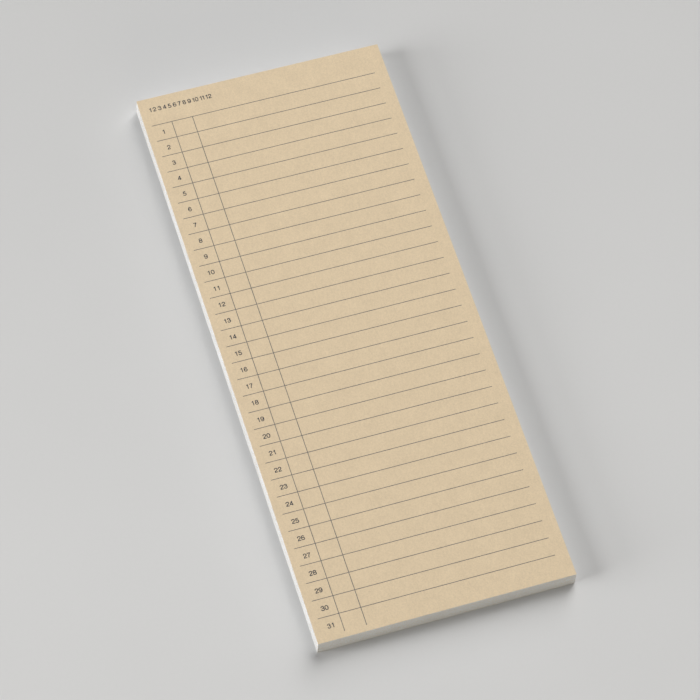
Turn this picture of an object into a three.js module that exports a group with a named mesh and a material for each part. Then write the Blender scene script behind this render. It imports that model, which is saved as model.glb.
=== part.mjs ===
// A sticky monthly planner pad: a block of loose sheets, stuck together by a band of low-tack
// adhesive across their backs, on a thin board. The sheet on top is printed with a tan ground and
// a ruled form, which has one row for each day and two narrow columns down its left side.
// Frame: millimetres, +Z up, +X across the page, +Y towards the head of the page.
// The origin is the middle of the board's underside, where the pad lies on a desk.

import * as THREE from "three";

// Paper and board
const SHEET_WIDTH = 86.6;
const SHEET_LENGTH = 210;
const SHEET_THICKNESS = 0.104;
const SHEETS_UNDER_TOP = 59;
const BOARD_THICKNESS = 0.3;

// The cut edge of the block: a fine groove between leaves, and the small stagger left by jogging the pile
const LEAF_GROOVE = 0.03;
const LEAF_STAGGER = 0.02;
const STAGGER_TURN = THREE.MathUtils.degToRad(137.5);

// The printed form
const DAYS = 31;
const HEAD_MARGIN = 11;
const FOOT_MARGIN = 2;
const LEFT_MARGIN = 2.45;
const RIGHT_MARGIN = 4.45;
const NUMBER_COLUMN = 7;
const MARK_COLUMN = 7.3;
const RULE_WIDTH = 0.2;
const INK_THICKNESS = 0.02;

// Levels, from the desk up
const blockBottom = BOARD_THICKNESS;
const blockTop = blockBottom + SHEETS_UNDER_TOP * SHEET_THICKNESS;
const padTop = blockTop + SHEET_THICKNESS;

// Lines of the form, measured in from the edges of the page
const halfWidth = SHEET_WIDTH / 2;
const halfLength = SHEET_LENGTH / 2;
const formTop = halfLength - HEAD_MARGIN;
const formFoot = -halfLength + FOOT_MARGIN;
const formLeft = -halfWidth + LEFT_MARGIN;
const formRight = halfWidth - RIGHT_MARGIN;
const rowPitch = (formTop - formFoot) / DAYS;
const firstUpright = formLeft + NUMBER_COLUMN;
const secondUpright = firstUpright + MARK_COLUMN;

// Colours and finishes
const tanPrint = new THREE.MeshStandardMaterial({ color: 0xdbc7a9, roughness: 0.85, metalness: 0 });
const whitePaper = new THREE.MeshStandardMaterial({ color: 0xf0efec, roughness: 0.9, metalness: 0 });
const whiteBoard = new THREE.MeshStandardMaterial({ color: 0xe6e4de, roughness: 0.8, metalness: 0 });
const greyInk = new THREE.MeshStandardMaterial({ color: 0x555659, roughness: 0.7, metalness: 0 });

// The corners of a rectangle, anticlockwise from its lower left.
function rectangle(left, low, right, high) {
  return [
    [left, low],
    [right, low],
    [right, high],
    [left, high],
  ];
}

// A full page of one thickness, lying on one level.
function pageLayer(bottom, thickness) {
  const corners = rectangle(-halfWidth, -halfLength, halfWidth, halfLength);
  const page = new THREE.Shape(corners.map(([x, y]) => new THREE.Vector2(x, y)));
  const cut = new THREE.ExtrudeGeometry(page, { depth: thickness, bevelEnabled: false });
  return cut.translate(0, 0, bottom);
}

// A flat-shaded geometry from a list of corners, three for each triangle.
function flatShaded(corners) {
  const skin = new THREE.BufferGeometry();
  skin.setAttribute("position", new THREE.Float32BufferAttribute(corners.flat(), 3));
  skin.computeVertexNormals();
  return skin;
}

// The edge of one leaf at one level: the page's outline, drawn in by an inset and moved by a shift.
function leafRing(inset, shiftX, shiftY, level) {
  const left = shiftX - halfWidth + inset;
  const right = shiftX + halfWidth - inset;
  const low = shiftY - halfLength + inset;
  const high = shiftY + halfLength - inset;
  return rectangle(left, low, right, high).map(([x, y]) => [x, y, level]);
}

// A closed skin through a pile of rings, with flat ends.
function loft(rings) {
  const triangles = [];
  for (let level = 0; level + 1 < rings.length; level += 1) {
    const lower = rings[level];
    const upper = rings[level + 1];
    lower.forEach((corner, i) => {
      const next = (i + 1) % lower.length;
      triangles.push(corner, lower[next], upper[next], corner, upper[next], upper[i]);
    });
  }
  const underside = rings[0];
  const topside = rings[rings.length - 1];
  for (let i = 1; i + 1 < underside.length; i += 1) {
    triangles.push(underside[0], underside[i + 1], underside[i]);
    triangles.push(topside[0], topside[i], topside[i + 1]);
  }
  return flatShaded(triangles);
}

// The sheets under the top one. Each leaf's edge stands between two grooves, a hair out of line
// with its neighbours, and each turns its own way by the golden angle, so that no pattern shows.
function leafBlock() {
  const rings = [leafRing(LEAF_GROOVE, 0, 0, blockBottom)];
  for (let leaf = 0; leaf < SHEETS_UNDER_TOP; leaf += 1) {
    const underside = blockBottom + leaf * SHEET_THICKNESS;
    const turn = leaf * STAGGER_TURN;
    const shiftX = LEAF_STAGGER * Math.cos(turn);
    const shiftY = LEAF_STAGGER * Math.sin(turn);
    rings.push(leafRing(0, shiftX, shiftY, underside + SHEET_THICKNESS / 2));
    rings.push(leafRing(LEAF_GROOVE, 0, 0, underside + SHEET_THICKNESS));
  }
  return loft(rings);
}

// A flat net on an uneven grid, whose rows run from the head down. Each inked cell has a face
// above and a face below, and a wall wherever the next cell is bare.
function gridNet(columns, rows, isInked, bottom, top) {
  const triangles = [];
  const face = (a, b, c, d) => triangles.push(a, b, c, a, c, d);
  const wall = ([x1, y1], [x2, y2]) => face([x1, y1, bottom], [x2, y2, bottom], [x2, y2, top], [x1, y1, top]);
  for (let i = 0; i + 1 < columns.length; i += 1) {
    for (let j = 0; j + 1 < rows.length; j += 1) {
      if (!isInked(i, j)) {
        continue;
      }
      const cell = rectangle(columns[i], rows[j + 1], columns[i + 1], rows[j]);
      const neighbours = [isInked(i, j + 1), isInked(i + 1, j), isInked(i, j - 1), isInked(i - 1, j)];
      face(...cell.map(([x, y]) => [x, y, top]));
      face(...cell.map(([x, y]) => [x, y, bottom]).reverse());
      neighbours.forEach((joined, side) => {
        if (!joined) {
          wall(cell[side], cell[(side + 1) % cell.length]);
        }
      });
    }
  }
  return flatShaded(triangles);
}

// The ruled form is one net of ink: a rule above each day, crossed by the two uprights. Below the
// last rule the uprights run on down to the foot margin, and no rule closes the last row.
function ruledForm() {
  const half = RULE_WIDTH / 2;
  const uprights = [firstUpright, secondUpright];
  const columns = [formLeft, ...uprights.flatMap((x) => [x - half, x + half]), formRight];
  const rows = [];
  for (let day = 0; day < DAYS; day += 1) {
    const y = formTop - day * rowPitch;
    rows.push(y + half, y - half);
  }
  rows.push(formFoot);
  const isInked = (i, j) => {
    const onGrid = i >= 0 && i + 1 < columns.length && j >= 0 && j + 1 < rows.length;
    const onRule = j % 2 === 0;
    const onUpright = i % 2 === 1;
    return onGrid && (onRule || onUpright);
  };
  return gridNet(columns, rows, isInked, padTop, padTop + INK_THICKNESS);
}

function piece(name, geometry, material) {
  const made = new THREE.Mesh(geometry, material);
  made.name = name;
  return made;
}

const pad = new THREE.Group();
pad.add(piece("backing_board", pageLayer(0, BOARD_THICKNESS), whiteBoard));
pad.add(piece("sheet_block", leafBlock(), whitePaper));
pad.add(piece("top_sheet", pageLayer(blockTop, SHEET_THICKNESS), tanPrint));
pad.add(piece("ruled_form", ruledForm(), greyInk));

export default pad;
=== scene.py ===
"""Dresses a monthly planner pad: leafed edges, printed paper, ink numbers, backing card and a studio.

Every length is in metres and every place is in the part's own frame: +X across the page, +Y
towards its head and +Z up out of the printed face.
"""

import math
import random

import bmesh
import bpy
from bpy.props import FloatProperty, FloatVectorProperty, IntProperty, PointerProperty
from bpy.types import Operator, Panel, PropertyGroup
from mathutils import Matrix, Vector, geometry, noise


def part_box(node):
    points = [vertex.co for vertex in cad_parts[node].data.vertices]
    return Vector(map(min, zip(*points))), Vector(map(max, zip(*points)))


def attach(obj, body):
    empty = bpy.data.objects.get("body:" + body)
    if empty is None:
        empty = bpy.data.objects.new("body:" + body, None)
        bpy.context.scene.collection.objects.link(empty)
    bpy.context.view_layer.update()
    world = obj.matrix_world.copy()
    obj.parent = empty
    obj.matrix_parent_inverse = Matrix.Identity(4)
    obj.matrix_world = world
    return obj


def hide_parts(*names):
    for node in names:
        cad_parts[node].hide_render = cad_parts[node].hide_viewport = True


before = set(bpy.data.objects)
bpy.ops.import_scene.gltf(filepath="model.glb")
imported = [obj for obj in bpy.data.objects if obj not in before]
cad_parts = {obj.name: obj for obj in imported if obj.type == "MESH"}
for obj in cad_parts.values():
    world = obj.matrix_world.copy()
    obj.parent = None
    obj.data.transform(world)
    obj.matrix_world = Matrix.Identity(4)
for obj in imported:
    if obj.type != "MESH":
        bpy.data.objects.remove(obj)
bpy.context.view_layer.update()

bl_info = {
    "name": "Planner Pad",
    "version": (1, 0, 0),
    "blender": (4, 5, 0),
    "location": "View3D > Sidebar > Planner Pad",
    "description": "Dresses a monthly planner pad with leafed edges, printed paper and ink",
    "category": "Object",
}

MM = 0.001
MICRON_DIGITS = 6
SENSOR_WIDTH = 36.0
FIGURE_WIDTH = 0.7
ROOT = "root"

BLOCK_LOW, BLOCK_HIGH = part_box("sheet_block")
SHEET_LOW, SHEET_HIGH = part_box("top_sheet")
FORM_LOW, FORM_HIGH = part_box("ruled_form")

LEAF_THICKNESS = SHEET_HIGH.z - SHEET_LOW.z
LEAVES = round((BLOCK_HIGH.z - BLOCK_LOW.z) / LEAF_THICKNESS)
HALF_PAGE = Vector((SHEET_HIGH.x, SHEET_HIGH.y))


def grid_lines(axis):
    """The places of the ruled net's edges along one axis, in order and to the nearest micron."""
    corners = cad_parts["ruled_form"].data.vertices
    return sorted({round(corner.co[axis], MICRON_DIGITS) for corner in corners})


FORM_COLUMNS = grid_lines(0)
FORM_ROWS = grid_lines(1)
DAYS = len(FORM_ROWS) // 2
ROW_PITCH = (FORM_ROWS[-1] - FORM_ROWS[0]) / DAYS
NUMBER_COLUMN = (FORM_COLUMNS[0], FORM_COLUMNS[1])
FORM_TOP = FORM_ROWS[-1]


# Settings

class PadPaper(PropertyGroup):
    """Colours and finish of the paper and the card."""

    ground: FloatVectorProperty(
        name="Printed ground",
        description="Tan ground printed over the whole face of a sheet",
        subtype="COLOR", size=3, min=0, max=1, default=(0.737, 0.591, 0.401),
    )
    stock: FloatVectorProperty(
        name="Paper",
        description="White stock, seen at the cut edges",
        subtype="COLOR", size=3, min=0, max=1, default=(0.79, 0.80, 0.81),
    )
    card: FloatVectorProperty(
        name="Card",
        description="White-faced board under the sheets",
        subtype="COLOR", size=3, min=0, max=1, default=(0.84, 0.825, 0.79),
    )
    groove_depth: FloatProperty(
        name="Groove depth",
        description="How far the gap between two leaves reaches in from the cut edge",
        subtype="DISTANCE", unit="LENGTH", default=0.22 * MM,
    )
    groove_width: FloatProperty(
        name="Groove width",
        description="Height of the gap between two leaves at the cut edge",
        subtype="DISTANCE", unit="LENGTH", default=0.009 * MM,
    )
    edge_stagger: FloatProperty(
        name="Edge stagger",
        description="How far a leaf stands out of line with its neighbours",
        subtype="DISTANCE", unit="LENGTH", default=0.012 * MM,
    )
    edge_wander: FloatProperty(
        name="Edge wander",
        description="How far a cut edge wanders along its length",
        subtype="DISTANCE", unit="LENGTH", default=0.012 * MM,
    )
    wander_length: FloatProperty(
        name="Wander length",
        description="Distance along the edge over which it wanders",
        subtype="DISTANCE", unit="LENGTH", default=14 * MM,
    )
    edge_step: FloatProperty(
        name="Edge step",
        description="Distance between the points of a leaf's outline",
        subtype="DISTANCE", unit="LENGTH", default=5 * MM,
    )
    seed: IntProperty(
        name="Seed",
        description="Starting value for the small differences between leaves",
        default=31,
    )


class PadPrint(PropertyGroup):
    """The inks and the small type."""

    rule_ink: FloatVectorProperty(
        name="Rule ink",
        description="Grey ink of the ruled form",
        subtype="COLOR", size=3, min=0, max=1, default=(0.10, 0.10, 0.105),
    )
    type_ink: FloatVectorProperty(
        name="Type ink",
        description="Dark slate ink of the numbers",
        subtype="COLOR", size=3, min=0, max=1, default=(0.009, 0.014, 0.024),
    )
    figure_height: FloatProperty(
        name="Figure height",
        description="Height of the numbers",
        subtype="DISTANCE", unit="LENGTH", default=1.62 * MM,
    )
    figure_advance: FloatProperty(
        name="Figure advance",
        description="From one figure to the next, as a part of their height",
        subtype="FACTOR", min=0.5, max=1.5, default=0.79,
    )
    pen: FloatProperty(
        name="Pen",
        description="Width of a figure's strokes, as a part of its height",
        subtype="FACTOR", min=0.02, max=0.3, default=0.162,
    )
    number_centre: FloatProperty(
        name="Number centre",
        description="Place of the day numbers across their column, from its left side",
        subtype="FACTOR", min=0, max=1, default=0.465,
    )
    number_drop: FloatProperty(
        name="Number drop",
        description="Place of the middle of a day number below its rule, as a part of the row",
        subtype="FACTOR", min=0, max=1, default=0.53,
    )
    month_start: FloatProperty(
        name="Month start",
        description="Left end of the line of month numbers, from the left end of the rules",
        subtype="DISTANCE", unit="LENGTH", default=0.9 * MM,
    )
    month_rise: FloatProperty(
        name="Month rise",
        description="Baseline of the month numbers above the first rule",
        subtype="DISTANCE", unit="LENGTH", default=5.4 * MM,
    )
    month_gap: FloatProperty(
        name="Month gap",
        description="Bare paper between two month numbers",
        subtype="DISTANCE", unit="LENGTH", default=0.6 * MM,
    )
    month_spacing: FloatProperty(
        name="Month spacing",
        description="Bare paper between the figures of one month number",
        subtype="DISTANCE", unit="LENGTH", default=0.27 * MM,
    )


class PadStudio(PropertyGroup):
    """The camera, the lamps and the floor."""

    azimuth: FloatProperty(
        name="Azimuth",
        description="Camera's turn about the pad, from straight in front of its foot",
        subtype="ANGLE", unit="ROTATION", default=math.radians(-22.532),
    )
    elevation: FloatProperty(
        name="Elevation",
        description="Camera's height above the page, as an angle",
        subtype="ANGLE", unit="ROTATION", default=math.radians(61.526),
    )
    roll: FloatProperty(
        name="Roll",
        description="Camera's turn about its own line of sight",
        subtype="ANGLE", unit="ROTATION", default=math.radians(-5.734),
    )
    distance: FloatProperty(
        name="Distance",
        description="From the camera to the point that it looks at",
        subtype="DISTANCE", unit="LENGTH", default=1.1363,
    )
    aim: FloatVectorProperty(
        name="Aim",
        description="Point on the page at the centre of the picture, across and along it",
        subtype="XYZ", unit="LENGTH", size=2, default=(-1.97 * MM, -7.27 * MM),
    )
    lens: FloatProperty(
        name="Focal length",
        description="Focal length in millimetres for a sensor 36 mm wide",
        default=177.2,
    )
    floor: FloatVectorProperty(
        name="Floor",
        description="Plain pale table top",
        subtype="COLOR", size=3, min=0, max=1, default=(0.65, 0.645, 0.635),
    )
    ambient: FloatProperty(
        name="Ambient light",
        description="Strength of the even light from all round",
        min=0, default=0.0,
    )
    left_low: FloatProperty(
        name="Low lamp on the left",
        description="Power of the small lamp that rakes across the page from the left, in watts",
        min=0, default=55.0,
    )
    left_high: FloatProperty(
        name="High lamp on the left",
        description="Power of the small lamp above the low one, in watts",
        min=0, default=33.0,
    )
    back_high: FloatProperty(
        name="High lamp behind",
        description="Power of the large soft lamp behind the head and to the right, in watts",
        min=0, default=142.0,
    )
    back_low: FloatProperty(
        name="Low lamp behind",
        description="Power of the large soft lamp under the high one, in watts",
        min=0, default=91.0,
    )
    front: FloatProperty(
        name="Front lamp",
        description="Power of the low soft lamp in front of the foot, in watts",
        min=0, default=17.0,
    )
    cool: FloatVectorProperty(
        name="Cool light",
        description="Colour of the lamps on the left",
        subtype="COLOR", size=3, min=0, max=2, default=(0.99, 1.0, 1.012),
    )
    warm: FloatVectorProperty(
        name="Warm light",
        description="Colour of the front lamp",
        subtype="COLOR", size=3, min=0, max=2, default=(1.09, 0.98, 0.775),
    )
    neutral: FloatVectorProperty(
        name="Neutral light",
        description="Colour of the lamps behind",
        subtype="COLOR", size=3, min=0, max=2, default=(1.0, 1.0, 1.0),
    )


# Shaders

# A colour Mix node's sockets: its factor, its two colours and its result
MIX_FACTOR, MIX_FIRST, MIX_SECOND, MIX_RESULT = 0, 6, 7, 2
# The least upward part of a face's direction, for a face that looks up
LOOKS_UP = 0.5
# The least square of that part, for a face that lies flat either way up
LIES_FLAT = 0.5


class Wire:
    """An output of a node, which takes part in Python sums by adding Math nodes."""

    def __init__(self, finish, socket):
        self.finish = finish
        self.socket = socket

    def _with(self, operation, first, second):
        settings = {"operation": operation}
        return self.finish.node("ShaderNodeMath", settings, {0: first, 1: second})

    def __add__(self, other):
        return self._with("ADD", self, other)

    __radd__ = __add__

    def __sub__(self, other):
        return self._with("SUBTRACT", self, other)

    def __rsub__(self, other):
        return self._with("SUBTRACT", other, self)

    def __mul__(self, other):
        return self._with("MULTIPLY", self, other)

    __rmul__ = __mul__

    def __gt__(self, other):
        return self._with("GREATER_THAN", self, other)


class Finish:
    """The nodes of one material, or of the world."""

    def __init__(self, owner):
        owner.use_nodes = True
        self.owner = owner
        self.tree = owner.node_tree
        self.tree.nodes.clear()

    def node(self, kind, settings=None, inputs=None, output=0):
        """Adds a node: its settings first, then a value or a wire for each of its inputs."""
        added = self.tree.nodes.new(kind)
        for key, value in (settings or {}).items():
            if key == "stops":
                self._set_stops(added.color_ramp, value)
            else:
                setattr(added, key, value)
        for key, value in (inputs or {}).items():
            if isinstance(value, Wire):
                self.tree.links.new(value.socket, added.inputs[key])
            else:
                added.inputs[key].default_value = value
        return Wire(self, added.outputs[output]) if added.outputs else None

    @staticmethod
    def _set_stops(ramp, stops):
        """Gives a ramp its stops, each a place and a grey level."""
        while len(ramp.elements) < len(stops):
            ramp.elements.new(1.0)
        for element, (place, level) in zip(ramp.elements, stops):
            element.position = place
            element.color = (level, level, level, 1.0)

    def place(self):
        return self.node("ShaderNodeTexCoord", output="Object")

    def facing(self):
        return self.node("ShaderNodeTexCoord", output="Normal")

    def part(self, vector, axis):
        return self.node("ShaderNodeSeparateXYZ", inputs={"Vector": vector}, output=axis)

    def stretched(self, vector, scale):
        """A vector with each of its parts multiplied by one part of the scale."""
        return self.node("ShaderNodeVectorMath", {"operation": "MULTIPLY"}, {0: vector, 1: scale})

    def mottle(self, vector, size, detail=2.0, roughness=0.5):
        """Noise whose patches are about the given size in metres."""
        inputs = {"Vector": vector, "Scale": 1.0 / size, "Detail": detail, "Roughness": roughness}
        return self.node("ShaderNodeTexNoise", {"normalize": True}, inputs)

    def ramp(self, value, stops):
        return self.node("ShaderNodeValToRGB", {"stops": stops}, {"Fac": value})

    def blend(self, factor, first, second):
        """A colour part of the way from the first to the second."""
        inputs = {MIX_FACTOR: factor, MIX_FIRST: self._colour(first), MIX_SECOND: self._colour(second)}
        return self.node("ShaderNodeMix", {"data_type": "RGBA"}, inputs, output=MIX_RESULT)

    def toned(self, factor, colour, deepest, palest):
        """A colour that runs between two shares of its own brightness."""
        return self.blend(factor, scaled(colour, deepest), scaled(colour, palest))

    @staticmethod
    def _colour(value):
        return value if isinstance(value, Wire) else (*value, 1.0)

    def colour_sum(self, first, second):
        """The sum of two colours."""
        inputs = {MIX_FACTOR: 1.0, MIX_FIRST: first, MIX_SECOND: second}
        settings = {"data_type": "RGBA", "blend_type": "ADD"}
        return self.node("ShaderNodeMix", settings, inputs, output=MIX_RESULT)

    def bump(self, height, depth, strength=1.0):
        """A relief whose height from 0 to 1 stands for the given depth in metres."""
        inputs = {"Height": height, "Distance": depth, "Strength": strength}
        return self.node("ShaderNodeBump", inputs=inputs, output="Normal")

    def surface(self, **inputs):
        """Ends the material in a Principled shader with these inputs."""
        named = {
            key.replace("_", " ").title().replace("Ior", "IOR"): value
            for key, value in inputs.items()
        }
        shader = self.node("ShaderNodeBsdfPrincipled", inputs=named)
        self.node("ShaderNodeOutputMaterial", inputs={"Surface": shader})
        return self.owner


def scaled(colour, factor):
    """A colour with each of its parts multiplied by the factor."""
    return tuple(part * factor for part in colour)


def paper_finish(name, paper):
    """Uncoated paper: the printed ground on faces that look up, and white stock on cut edges."""
    # The smaller its part, the longer the noise's patches are in that direction
    along_page = (1.0, 0.35, 1.0)
    upright = (1.0, 1.0, 0.04)
    level = (0.02, 0.02, 1.0)
    relief_depth = 0.018 * MM
    finish = Finish(bpy.data.materials.new(name))
    place = finish.place()
    up = finish.part(finish.facing(), "Z") > LOOKS_UP

    cloud = finish.mottle(place, size=6 * MM, detail=3.0)
    tooth = finish.mottle(place, size=0.42 * MM, detail=2.0, roughness=0.6)
    fibres = finish.mottle(finish.stretched(place, along_page), size=0.7 * MM, detail=4.0, roughness=0.7)
    density = cloud * 0.2 + tooth * 0.55 + fibres * 0.25
    ground = finish.toned(density, paper.ground, deepest=0.72, palest=1.28)

    streaks = finish.mottle(finish.stretched(place, upright), size=0.16 * MM, detail=2.0)
    leaf = finish.mottle(finish.stretched(place, level), size=0.19 * MM, detail=1.0)
    cut = streaks * 0.45 + leaf * 0.55
    edge = finish.toned(cut, paper.stock, deepest=0.9, palest=1.07)

    relief = up * (tooth * 0.7 + fibres * 0.3) + (1 - up) * streaks
    return finish.surface(
        base_color=finish.blend(up, edge, ground),
        specular_ior_level=0.2,
        roughness=0.78 + tooth * 0.16,
        normal=finish.bump(relief, relief_depth, strength=0.6),
    )


def card_finish(name, paper):
    """Pulp board: smooth white faces, and a cut edge with a fibrous core in thin layers."""
    layered = (1.0, 1.0, 3.0)
    speck_stops = [(0.66, 0.0), (0.74, 1.0)]
    speck_strength = 0.2
    relief_depth = 0.02 * MM
    finish = Finish(bpy.data.materials.new(name))
    place = finish.place()
    upward = finish.part(finish.facing(), "Z")
    flat = upward * upward > LIES_FLAT

    pulp = finish.mottle(finish.stretched(place, layered), size=0.25 * MM, detail=4.0, roughness=0.65)
    cloud = finish.mottle(place, size=9 * MM, detail=3.0)
    specks = finish.ramp(finish.mottle(place, size=0.5 * MM, detail=1.0), speck_stops)
    core = finish.toned(pulp, paper.card, deepest=0.84, palest=1.08)
    smooth = finish.toned(cloud, paper.card, deepest=0.97, palest=1.03)
    liner = finish.blend(specks * speck_strength, smooth, scaled(paper.card, 0.72))
    return finish.surface(
        base_color=finish.blend(flat, core, liner),
        roughness=0.7 + pulp * 0.2,
        normal=finish.bump(pulp, relief_depth, strength=0.5),
    )


def ink_finish(name, ink, ground):
    """Flat ink, a little thinner where the paper's tooth shows through it."""
    thin_stops = [(0.55, 0.0), (0.85, 1.0)]
    thin_strength = 0.12
    relief_depth = 0.006 * MM
    finish = Finish(bpy.data.materials.new(name))
    tooth = finish.mottle(finish.place(), size=0.12 * MM, detail=3.0, roughness=0.65)
    thin = finish.ramp(tooth, thin_stops)
    return finish.surface(
        base_color=finish.blend(thin * thin_strength, ink, scaled(ground, 0.6)),
        roughness=0.55 + tooth * 0.3,
        normal=finish.bump(tooth, relief_depth, strength=0.5),
    )


def floor_finish(name, colour):
    """A plain pale table top with a faint unevenness, and painted shade that darkens it a little behind the
    pad.
    """
    ramp_middle = 0.5
    # Painted shade: where, along the page, the table top starts to darken behind the pad and where it is
    # darkest
    painted_shade_start = -50 * MM
    painted_shade_end = 180 * MM
    finish = Finish(bpy.data.materials.new(name))
    place = finish.place()
    haze = finish.mottle(place, size=60 * MM, detail=2.0)
    grain = finish.mottle(place, size=1.2 * MM, detail=3.0)
    # Painted shade: the table top's colour falls to 0.88 of itself behind the pad, standing in for light
    # that fades towards the back
    painted_shade_stops = [(ramp_middle + painted_shade_start, 0.0), (ramp_middle + painted_shade_end, 1.0)]
    behind = finish.ramp(finish.part(place, "Y") + ramp_middle, painted_shade_stops)
    # The table top's colour with the painted shade mixed in
    tone = finish.blend(behind, colour, scaled(colour, 0.88))
    speck = finish.toned(haze * 0.6 + grain * 0.4, colour, deepest=0.0, palest=0.06)
    return finish.surface(
        base_color=finish.colour_sum(tone, speck),
        specular_ior_level=0.3,
        roughness=0.72 + grain * 0.12,
    )


# Making pieces

def add_piece(name, mesh, material, replaced=()):
    """Puts a finished mesh in the scene as a piece that rides with the pad."""
    piece = bpy.data.objects.new(name, mesh)
    bpy.context.scene.collection.objects.link(piece)
    mesh.materials.append(material)
    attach(piece, ROOT)
    if replaced:
        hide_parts(*replaced)
    return piece


def dress_node(node, material):
    """Gives a carried-over solid a finish."""
    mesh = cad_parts[node].data
    mesh.materials.clear()
    mesh.materials.append(material)


def page_outline(step):
    """Points anticlockwise round the page from its lower left corner, each with its way outwards.

    A corner's way is the sum of its two sides' ways, so that an inset keeps the corner square.
    """
    corners = [Vector((-1, -1)), Vector((1, -1)), Vector((1, 1)), Vector((-1, 1))]
    points = []
    for start, end in zip(corners, corners[1:] + corners[:1]):
        begin = start * HALF_PAGE
        side = end * HALF_PAGE - begin
        outwards = Vector((side.y, -side.x)).normalized()
        count = round(side.length / step)
        for i in range(count):
            way = outwards if i else start
            points.append((begin + side * (i / count), way))
    return points


def leaf_rings(paper):
    """Outlines up the block of sheets, with a groove ring and two edge rings for each leaf."""
    least_share = 0.3
    draw = random.Random(paper.seed)
    outline = page_outline(paper.edge_step)
    half_gap = paper.groove_width / 2

    def ring(shift, wander_key, inset, level):
        points = []
        for point, way in outline:
            at = Vector((point.x, point.y, wander_key)) / paper.wander_length
            out = noise.noise(at) * paper.edge_wander - inset
            points.append((*(point + shift + way * out), level))
        return points

    still = Vector((0.0, 0.0))
    rings = [ring(still, 0.0, paper.groove_depth, BLOCK_LOW.z)]
    for leaf in range(LEAVES):
        turn = draw.uniform(0.0, math.tau)
        reach = paper.edge_stagger * draw.uniform(least_share, 1.0)
        shift = Vector((math.cos(turn), math.sin(turn))) * reach
        key = draw.uniform(0.0, 1.0)
        low = BLOCK_LOW.z + leaf * LEAF_THICKNESS
        high = low + LEAF_THICKNESS
        rings.append(ring(shift, key, 0.0, low + half_gap))
        rings.append(ring(shift, key, 0.0, high - half_gap))
        rings.append(ring(still, 0.0, paper.groove_depth, high))
    return rings


def lofted_mesh(name, rings):
    """A closed skin through rings of equal count, with flat ends."""
    count = len(rings[0])
    faces = [list(reversed(range(count)))]
    for level in range(len(rings) - 1):
        for i in range(count):
            a = level * count + i
            b = level * count + (i + 1) % count
            faces.append((a, b, b + count, a + count))
    last = (len(rings) - 1) * count
    faces.append([last + i for i in range(count)])
    mesh = bpy.data.meshes.new(name)
    mesh.from_pydata([point for ring in rings for point in ring], [], faces)
    mesh.validate()
    return mesh


# Figures, drawn as pen strokes in a box one unit high with its lower left corner at the origin

def bow(*controls, steps=10):
    """Points along a chain of cubic curves: a start, then two handles and an end for each."""
    points = [Vector(controls[0])]
    for i in range(1, len(controls), 3):
        ends = (points[-1], *(Vector(each) for each in controls[i:i + 3]))
        curve = geometry.interpolate_bezier(ends[0], ends[1], ends[2], ends[3], steps)
        points += [Vector(point[:2]) for point in curve[1:]]
    return points


def bar(*points):
    """Points of a stroke with straight sides."""
    return [Vector(point) for point in points]


def loop(centre, radii, squareness=2.2, steps=40):
    """Points round a closed bowl, a little squarer than an ellipse."""
    points = []
    for i in range(steps):
        turn = math.tau * i / steps
        across, up = math.cos(turn), math.sin(turn)
        x = math.copysign(abs(across) ** (2 / squareness), across)
        y = math.copysign(abs(up) ** (2 / squareness), up)
        points.append(Vector((centre[0] + radii[0] * x, centre[1] + radii[1] * y)))
    return points + points[:1]


def turned(strokes):
    """Strokes turned upside down about the middle of the figure's box."""
    return [[Vector((FIGURE_WIDTH - point.x, 1.0 - point.y)) for point in stroke] for stroke in strokes]


def figure_strokes():
    """The pen strokes of each figure, which run a little inside the box at its foot and top."""
    foot = 0.0625
    top = 1 - foot
    six = [
        loop((0.35, 0.318), (0.285, 0.256)),
        bow(
            (0.61, 0.735), (0.585, 0.87), (0.5, top), (0.37, top),
            (0.16, top), (0.065, 0.76), (0.065, 0.47), (0.065, 0.42), (0.065, 0.37), (0.066, 0.32),
        ),
    ]
    return {
        "0": [loop((0.35, 0.5), (0.285, top - 0.5), squareness=2.35)],
        "1": [bar((0.43, 0.0), (0.43, 1.0)), bow((0.15, 0.765), (0.32, 0.765), (0.39, 0.83), (0.43, 0.97))],
        "2": [
            bow(
                (0.07, 0.65), (0.07, 0.85), (0.18, top), (0.355, top),
                (0.52, top), (0.63, 0.84), (0.63, 0.695),
                (0.63, 0.42), (0.13, 0.4), (0.09, 0.07),
            ),
            bar((0.012, foot), (0.66, foot)),
        ],
        "3": [
            bow(
                (0.075, 0.68), (0.085, 0.85), (0.19, top), (0.345, top),
                (0.5, top), (0.6, 0.86), (0.6, 0.74), (0.6, 0.62), (0.5, 0.545), (0.27, 0.545),
            ),
            bow(
                (0.27, 0.54), (0.52, 0.54), (0.635, 0.46), (0.635, 0.305),
                (0.635, 0.15), (0.51, foot), (0.34, foot), (0.17, foot), (0.065, 0.15), (0.06, 0.325),
            ),
        ],
        "4": [
            bar((0.505, 0.0), (0.505, 0.99)),
            bar((0.0, 0.265), (0.69, 0.265)),
            bar((0.055, 0.265), (0.5, 0.965)),
        ],
        "5": [
            bar((0.12, top), (0.61, top)),
            bar((0.17, 0.95), (0.12, 0.5)),
            bow(
                (0.12, 0.505), (0.18, 0.58), (0.26, 0.615), (0.355, 0.615),
                (0.53, 0.615), (0.635, 0.5), (0.635, 0.34),
                (0.635, 0.17), (0.52, foot), (0.34, foot), (0.18, foot), (0.075, 0.14), (0.065, 0.285),
            ),
        ],
        "6": six,
        "7": [
            bar((0.03, top), (0.67, top)),
            bow((0.61, 0.9), (0.42, 0.68), (0.27, 0.36), (0.23, 0.0)),
        ],
        "8": [
            loop((0.35, 0.74), (0.245, 0.1975)),
            loop((0.35, 0.3), (0.285, 0.2375)),
        ],
        "9": turned(six),
    }


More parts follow.
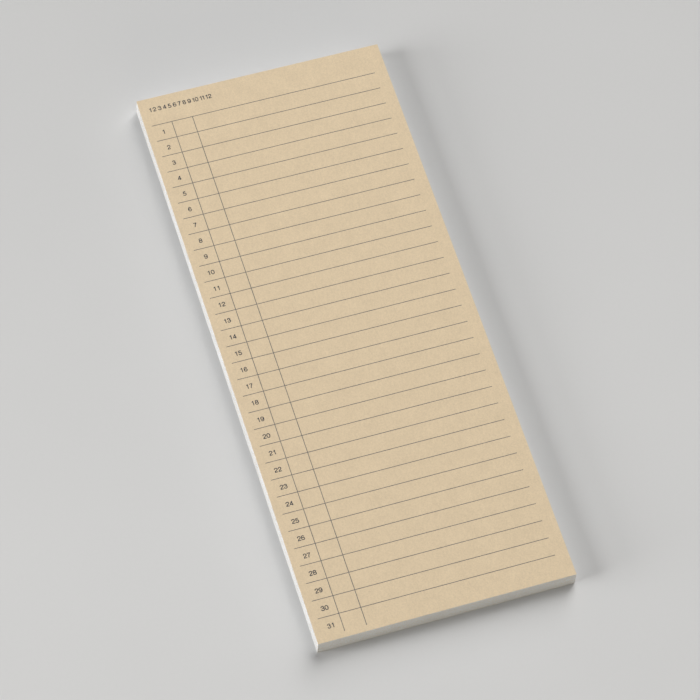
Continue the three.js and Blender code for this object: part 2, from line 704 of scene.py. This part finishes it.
def ribbon(shaper, stroke, half_pen, half_depth):
    """Adds a closed flat ribbon along a stroke, which may return to its start, to a mesh."""
    touching = half_pen * 0.01
    closed = (stroke[0] - stroke[-1]).length < touching
    points = stroke[:-1] if closed else stroke
    count = len(points)
    rows = []
    for i, point in enumerate(points):
        before = points[i - 1] if closed or i else point
        after = points[(i + 1) % count] if closed or i + 1 < count else point
        way = (after - before).normalized()
        side = Vector((-way.y, way.x)) * half_pen
        corners = [(point + side, half_depth), (point - side, half_depth)]
        corners += [(point - side, -half_depth), (point + side, -half_depth)]
        rows.append([shaper.verts.new((*place, level)) for place, level in corners])
    for i in range(count if closed else count - 1):
        row, following = rows[i], rows[(i + 1) % count]
        for j in range(4):
            k = (j + 1) % 4
            shaper.faces.new((row[j], row[k], following[k], following[j]))
    if not closed:
        shaper.faces.new(reversed(rows[0]))
        shaper.faces.new(rows[-1])
    bmesh.ops.recalc_face_normals(shaper, faces=shaper.faces)


def figure_mesh(figure, strokes, settings):
    """One figure at its real size, with its strokes fused into one flat body of ink."""
    height = settings.figure_height
    half_depth = (FORM_HIGH.z - FORM_LOW.z) / 2
    bodies = []
    for stroke in strokes:
        shaper = bmesh.new()
        ribbon(shaper, [point * height for point in stroke], settings.pen * height / 2, half_depth)
        mesh = bpy.data.meshes.new("stroke")
        shaper.to_mesh(mesh)
        shaper.free()
        body = bpy.data.objects.new("stroke", mesh)
        bpy.context.scene.collection.objects.link(body)
        bodies.append(body)
    for other in bodies[1:]:
        fuse = bodies[0].modifiers.new("fuse", "BOOLEAN")
        fuse.operation = "UNION"
        fuse.solver = "EXACT"
        fuse.object = other
    graph = bpy.context.evaluated_depsgraph_get()
    fused = bpy.data.meshes.new_from_object(bodies[0].evaluated_get(graph))
    fused.name = "figure_" + figure
    for body in bodies:
        bpy.data.objects.remove(body)
    return fused


def mesh_span(mesh, axis):
    """The least and the greatest place of a mesh along one axis."""
    places = [vertex.co[axis] for vertex in mesh.vertices]
    return min(places), max(places)


def print_figures(name, placed, figures):
    """One mesh of many figures, each at the place given for the left side of its box."""
    joined = bmesh.new()
    middle = (FORM_LOW.z + FORM_HIGH.z) / 2
    for figure, x, baseline in placed:
        first = len(joined.verts)
        joined.from_mesh(figures[figure])
        joined.verts.ensure_lookup_table()
        shift = Vector((x, baseline, middle))
        bmesh.ops.translate(joined, vec=shift, verts=joined.verts[first:])
    mesh = bpy.data.meshes.new(name)
    joined.to_mesh(mesh)
    joined.free()
    return mesh


# Operators

class PAD_OT_stage(Operator):
    """Sets up the table top, the lamps and the camera."""

    bl_idname = "pad.stage"
    bl_label = "Stage"

    floor_radius = 4.0
    floor_sides = 96
    nearest_seen = 0.05
    less_than_one = 0.5
    # Each lamp's name and light, its turn clockwise from the head and its height, both in degrees,
    # its distance, and its width and height
    lamps = (
        ("left_low", "cool", 270, 12, 3.0, (1.5, 0.75)),
        ("left_high", "cool", 270, 30, 3.0, (1.1, 0.75)),
        ("back_high", "neutral", 37, 56, 5.0, (3.0, 2.8)),
        ("back_low", "neutral", 37, 28, 5.0, (3.0, 2.0)),
        ("front", "warm", 180, 7, 3.0, (2.0, 0.6)),
    )

    def execute(self, context):
        studio = context.scene.pad_studio
        self.make_floor(studio)
        self.make_world(context.scene, studio)
        for name, light, *placing in self.lamps:
            self.make_lamp(name, getattr(studio, name), getattr(studio, light), *placing)
        self.make_camera(context, studio)
        return {"FINISHED"}

    def make_floor(self, studio):
        disc = bmesh.new()
        bmesh.ops.create_circle(disc, cap_ends=True, radius=self.floor_radius, segments=self.floor_sides)
        mesh = bpy.data.meshes.new("table_top")
        disc.to_mesh(mesh)
        disc.free()
        mesh.materials.append(floor_finish("table_top", studio.floor))
        floor = bpy.data.objects.new("table_top", mesh)
        bpy.context.scene.collection.objects.link(floor)

    def make_world(self, scene, studio):
        """Even light from all round, which the camera, gloss and glass see as a pale backdrop."""
        world = Finish(bpy.data.worlds.new("studio"))
        white = {"Color": (1.0, 1.0, 1.0, 1.0), "Strength": studio.ambient}
        light = world.node("ShaderNodeBackground", inputs=white)
        backdrop = world.node("ShaderNodeBackground", inputs={"Color": (*studio.floor, 1.0)})
        rays = ("Is Camera Ray", "Is Glossy Ray", "Is Transmission Ray")
        kinds = sum(world.node("ShaderNodeLightPath", output=ray) for ray in rays)
        seen = kinds > self.less_than_one
        shown = world.node("ShaderNodeMixShader", inputs={0: seen, 1: light, 2: backdrop})
        world.node("ShaderNodeOutputWorld", inputs={"Surface": shown})
        scene.world = world.owner

    def make_lamp(self, name, power, colour, heading, elevation, distance, size):
        """A soft lamp that looks at the middle of the pad."""
        turn, rise = math.radians(heading), math.radians(elevation)
        way = Vector((math.sin(turn) * math.cos(rise), math.cos(turn) * math.cos(rise), math.sin(rise)))
        lamp = bpy.data.lights.new(name, "AREA")
        lamp.shape = "RECTANGLE"
        lamp.size, lamp.size_y = size
        lamp.energy = power
        lamp.color = colour
        stand = bpy.data.objects.new(name, lamp)
        bpy.context.scene.collection.objects.link(stand)
        stand.visible_camera = False
        stand.location = way * distance
        stand.rotation_euler = (-way).to_track_quat("-Z", "Y").to_euler()

    def make_camera(self, context, studio):
        away = Vector((
            math.cos(studio.elevation) * math.sin(studio.azimuth),
            -math.cos(studio.elevation) * math.cos(studio.azimuth),
            math.sin(studio.elevation),
        ))
        target = Vector((*studio.aim, SHEET_HIGH.z))
        lens = bpy.data.cameras.new("camera")
        lens.lens = studio.lens
        lens.sensor_width = SENSOR_WIDTH
        lens.clip_start = self.nearest_seen
        camera = bpy.data.objects.new("camera", lens)
        context.scene.collection.objects.link(camera)
        camera.location = target + away * studio.distance
        level = (-away).to_track_quat("-Z", "Y").to_matrix()
        camera.rotation_euler = (level @ Matrix.Rotation(-studio.roll, 3, "Z")).to_euler()
        context.scene.camera = camera
        context.scene.view_settings.view_transform = "Standard"


class PAD_OT_backing_board(Operator):
    """Finishes the board under the sheets."""

    bl_idname = "pad.backing_board"
    bl_label = "Backing board"

    def execute(self, context):
        dress_node("backing_board", card_finish("white_card", context.scene.pad_paper))
        return {"FINISHED"}


class PAD_OT_leaves(Operator):
    """Makes the cut edges of the leaves and finishes the sheet on top."""

    bl_idname = "pad.leaves"
    bl_label = "Leaves"

    def execute(self, context):
        paper = context.scene.pad_paper
        finish = paper_finish("printed_paper", paper)
        leaves = lofted_mesh("leaves", leaf_rings(paper))
        add_piece("leaves", leaves, finish, ["sheet_block"])
        dress_node("top_sheet", finish)
        return {"FINISHED"}


class PAD_OT_rules(Operator):
    """Inks the ruled form."""

    bl_idname = "pad.rules"
    bl_label = "Rules"

    def execute(self, context):
        scene = context.scene
        ink = ink_finish("rule_ink", scene.pad_print.rule_ink, scene.pad_paper.ground)
        dress_node("ruled_form", ink)
        return {"FINISHED"}


class PAD_OT_numbers(Operator):
    """Prints the day numbers down the page and the month numbers across its head."""

    bl_idname = "pad.numbers"
    bl_label = "Numbers"

    months = 12

    def execute(self, context):
        scene = context.scene
        settings = scene.pad_print
        strokes = figure_strokes()
        figures = {figure: figure_mesh(figure, strokes[figure], settings) for figure in strokes}
        ink = ink_finish("type_ink", settings.type_ink, scene.pad_paper.ground)
        spans = {figure: mesh_span(mesh, 0) for figure, mesh in figures.items()}
        days = print_figures("day_numbers", self.day_places(spans, settings), figures)
        months = print_figures("month_numbers", self.month_places(spans, settings), figures)
        add_piece("day_numbers", days, ink)
        add_piece("month_numbers", months, ink)
        for mesh in figures.values():
            bpy.data.meshes.remove(mesh)
        return {"FINISHED"}

    def day_places(self, spans, settings):
        """The days' numbers, each centred in its column a little below the middle of its row."""
        left, right = NUMBER_COLUMN
        centre = left + (right - left) * settings.number_centre
        advance = settings.figure_advance * settings.figure_height
        for day in range(1, DAYS + 1):
            text = str(day)
            start = spans[text[0]][0]
            end = spans[text[-1]][1] + advance * (len(text) - 1)
            x = centre - (start + end) / 2
            middle = FORM_TOP - (day - 1 + settings.number_drop) * ROW_PITCH
            for i, figure in enumerate(text):
                yield figure, x + i * advance, middle - settings.figure_height / 2

    def month_places(self, spans, settings):
        """The months' numbers in a line, with even bare paper between their figures."""
        x = FORM_LOW.x + settings.month_start
        baseline = FORM_TOP + settings.month_rise
        for month in range(1, self.months + 1):
            for figure in str(month):
                start, end = spans[figure]
                yield figure, x - start, baseline
                x += end - start + settings.month_spacing
            x += settings.month_gap - settings.month_spacing


class PAD_PT_panel(Panel):
    """Lists the steps that dress the pad."""

    bl_label = "Planner Pad"
    bl_idname = "PAD_PT_panel"
    bl_space_type = "VIEW_3D"
    bl_region_type = "UI"
    bl_category = "Planner Pad"

    def draw(self, context):
        for step in STEPS:
            self.layout.operator(step.bl_idname)


STEPS = (PAD_OT_stage, PAD_OT_backing_board, PAD_OT_leaves, PAD_OT_rules, PAD_OT_numbers)
CLASSES = (PadPaper, PadPrint, PadStudio, *STEPS, PAD_PT_panel)


def register():
    for each in CLASSES:
        bpy.utils.register_class(each)
    bpy.types.Scene.pad_paper = PointerProperty(type=PadPaper)
    bpy.types.Scene.pad_print = PointerProperty(type=PadPrint)
    bpy.types.Scene.pad_studio = PointerProperty(type=PadStudio)


def unregister():
    del bpy.types.Scene.pad_studio
    del bpy.types.Scene.pad_print
    del bpy.types.Scene.pad_paper
    for each in reversed(CLASSES):
        bpy.utils.unregister_class(each)


def main():
    register()
    bpy.ops.pad.stage()
    bpy.ops.pad.backing_board()
    bpy.ops.pad.leaves()
    bpy.ops.pad.rules()
    bpy.ops.pad.numbers()


if __name__ == "__main__":
    main()
